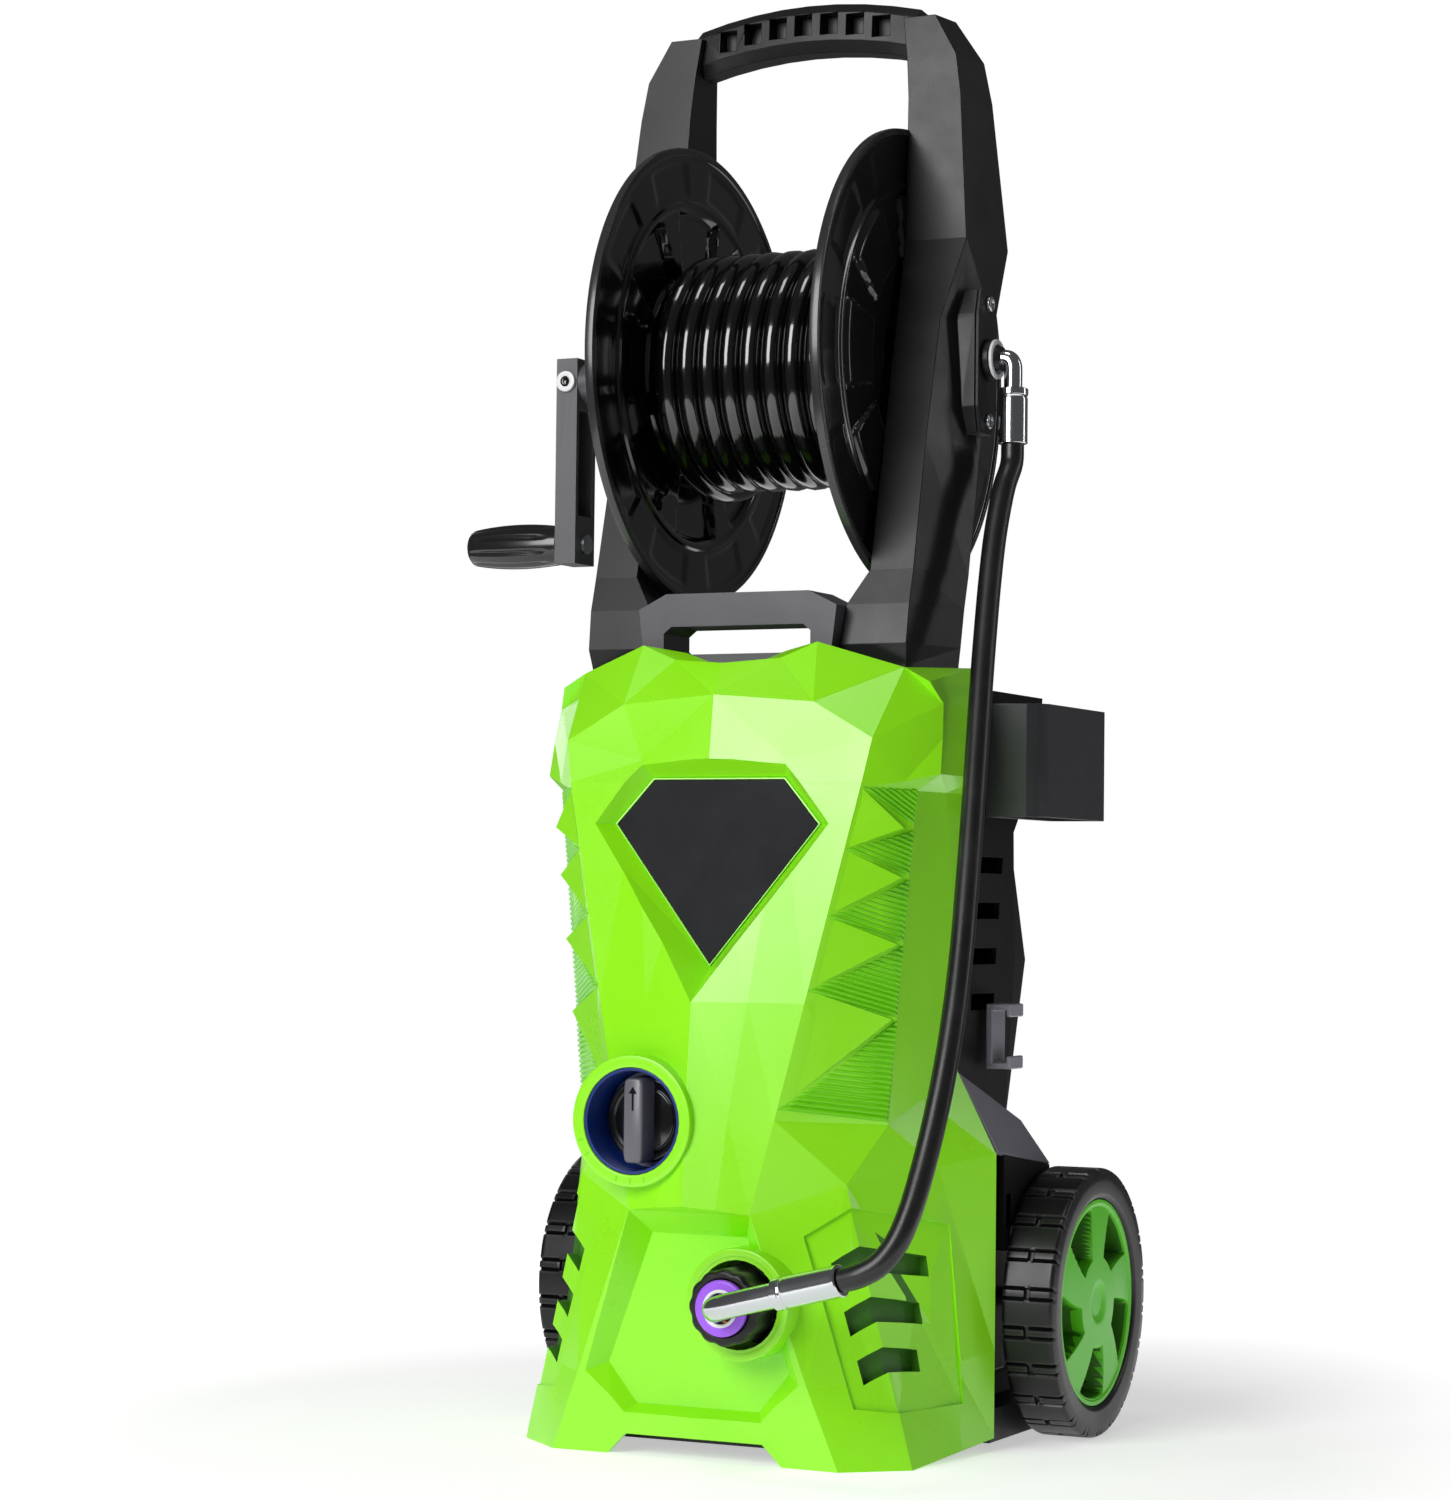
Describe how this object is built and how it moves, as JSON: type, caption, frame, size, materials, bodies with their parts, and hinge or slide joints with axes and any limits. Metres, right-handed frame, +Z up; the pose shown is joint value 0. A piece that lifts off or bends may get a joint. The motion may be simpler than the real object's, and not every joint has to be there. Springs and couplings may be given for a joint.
{
  "type": "pressure washer",
  "caption": "Upright electric pressure washer on two wheels, with a crank hose reel between raked uprights, a turn switch, a front outlet and a side holster",
  "frame": {"origin": "on the floor, under the middle of the bounding box without the connecting hose", "axes": "+Z up, the front faces -Y, +X to the right for someone who faces the front"},
  "size_m": [0.412, 0.367, 0.8905],
  "materials": {
    "green_shell": "semi-gloss injection moulded, fine grain",
    "green_rim": "semi-gloss injection moulded",
    "black_shell": "satin black, fine grain",
    "frame_black": "satin dark grey",
    "grey_violet": "satin grey",
    "gloss_black": "high gloss black",
    "navy": "satin navy blue",
    "badge": "satin charcoal",
    "hook_grey": "satin light grey",
    "seal_violet": "smooth elastomer",
    "white_seal": "satin white",
    "hose_rubber": "satin black rubber",
    "tyre_rubber": "matt black",
    "chromed": "polished",
    "steel": "machined",
    "brass": "machined",
    "cast_alloy": "as cast",
    "copper_winding": "varnished winding"
  },
  "bodies": {
    "body": {"badge_plate": "badge", "base_tray": "black_shell", "cable_gland": "black_shell", "carry_bridge": "grey_violet", "connecting_hose": "hose_rubber", "cord_hook": "hook_grey", "front_cover": "green_shell", "gun_holder": "grey_violet", "handle_bar": "black_shell", "inlet_filter": "white_seal", "knob_cup": "navy", "left_fender": "grey_violet", "left_upright": "frame_black", "lower_ferrule": "chromed", "motor_shell": "cast_alloy", "motor_stator": "copper_winding", "outlet_elbow": "chromed", "outlet_port": "brass", "outlet_seal": "seal_violet", "plate_bolt_lower": "steel", "plate_bolt_upper": "steel", "pump_head": "cast_alloy", "pump_piston_1": "steel", "pump_piston_2": "steel", "pump_piston_3": "steel", "rear_cover": "black_shell", "right_fender": "grey_violet", "right_upright": "frame_black", "run_capacitor": "white_seal", "switch_box": "black_shell", "swivel_body": "black_shell", "swivel_plate": "steel", "swivel_seal": "white_seal", "upper_elbow": "chromed", "upper_ferrule": "chromed", "water_inlet": "brass", "wheel_axle": "steel"},
    "reel": {"reel_drum": "gloss_black", "left_side_plate": "gloss_black", "right_side_plate": "gloss_black", "reel_spindle": "steel", "wound_hose": "hose_rubber", "hose_end": "chromed", "crank_arm": "black_shell", "crank_screw": "chromed", "crank_pin": "steel"},
    "crank_grip": {"crank_grip": "black_shell"},
    "left_wheel": {"left_tyre": "tyre_rubber", "left_rim": "green_rim", "left_hub_cap": "green_shell"},
    "right_wheel": {"right_tyre": "tyre_rubber", "right_rim": "green_rim", "right_hub_cap": "green_shell"},
    "switch_knob": {"knob_disc": "gloss_black", "knob_grip": "frame_black"},
    "motor_shaft": {"motor_rotor": "steel", "motor_fan": "black_shell", "swash_plate": "steel"},
    "hose_collar": {"outlet_collar": "black_shell"}
  },
  "joints": [
    {"name": "reel_spin", "type": "hinge", "parent": "body", "child": "reel", "pos_m": [0.03005, 0.02703, 0.659], "axis": [1, 0, 0], "continuous": true},
    {"name": "crank_grip_spin", "type": "hinge", "parent": "reel", "child": "crank_grip", "pos_m": [-0.16995, 0.02703, 0.555], "axis": [1, 0, 0], "continuous": true},
    {"name": "left_wheel_spin", "type": "hinge", "parent": "body", "child": "left_wheel", "pos_m": [-0.12795, 0.10103, 0.0825], "axis": [1, 0, 0], "continuous": true},
    {"name": "right_wheel_spin", "type": "hinge", "parent": "body", "child": "right_wheel", "pos_m": [0.18805, 0.10103, 0.0825], "axis": [1, 0, 0], "continuous": true},
    {"name": "knob_turn", "type": "hinge", "parent": "body", "child": "switch_knob", "pos_m": [-0.00345, -0.10897, 0.1975], "axis": [0, 1, 0], "range_deg": [0, 90]},
    {"name": "motor_spin", "type": "hinge", "parent": "body", "child": "motor_shaft", "pos_m": [0.03005, 0.01903, 0.27], "axis": [0, 0, 1], "continuous": true},
    {"name": "collar_turn", "type": "hinge", "parent": "body", "child": "hose_collar", "pos_m": [0.06605, -0.13097, 0.094], "axis": [0, 1, 0], "range_deg": [0, 360]}
  ]
}
